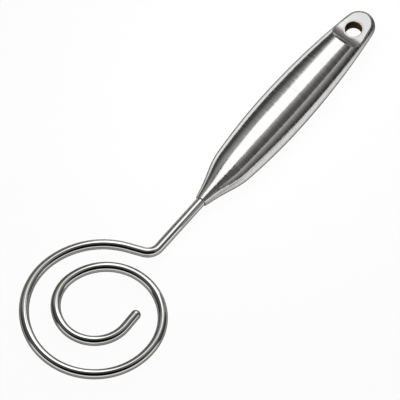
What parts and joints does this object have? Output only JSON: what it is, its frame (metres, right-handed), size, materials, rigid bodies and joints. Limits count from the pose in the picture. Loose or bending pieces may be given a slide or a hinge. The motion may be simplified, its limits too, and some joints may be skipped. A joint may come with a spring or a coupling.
{
  "type": "dough whisk",
  "caption": "Dough whisk: a thick steel wire bent into a flat open spiral on a hollow stainless handle with a scooped hanging eye, for mixing stiff dough by hand.",
  "frame": {"origin": "centre of the hanging hole, midway between the two eye faces", "axes": "+X along the handle towards the spiral, +Y across the handle in the plane of the spiral, +Z along the axis of the hanging hole"},
  "size_m": [0.299, 0.0894, 0.024],
  "materials": {
    "polished_wire": "polished",
    "brushed_shell": "satin",
    "eyelet_steel": "polished",
    "inner_steel": "matte"
  },
  "bodies": {
    "root": {"whisk_wire": "polished_wire", "upper_handle_shell": "brushed_shell", "lower_handle_shell": "brushed_shell", "hanging_eyelet": "eyelet_steel", "tang_bush": "inner_steel"}
  },
  "joints": []
}
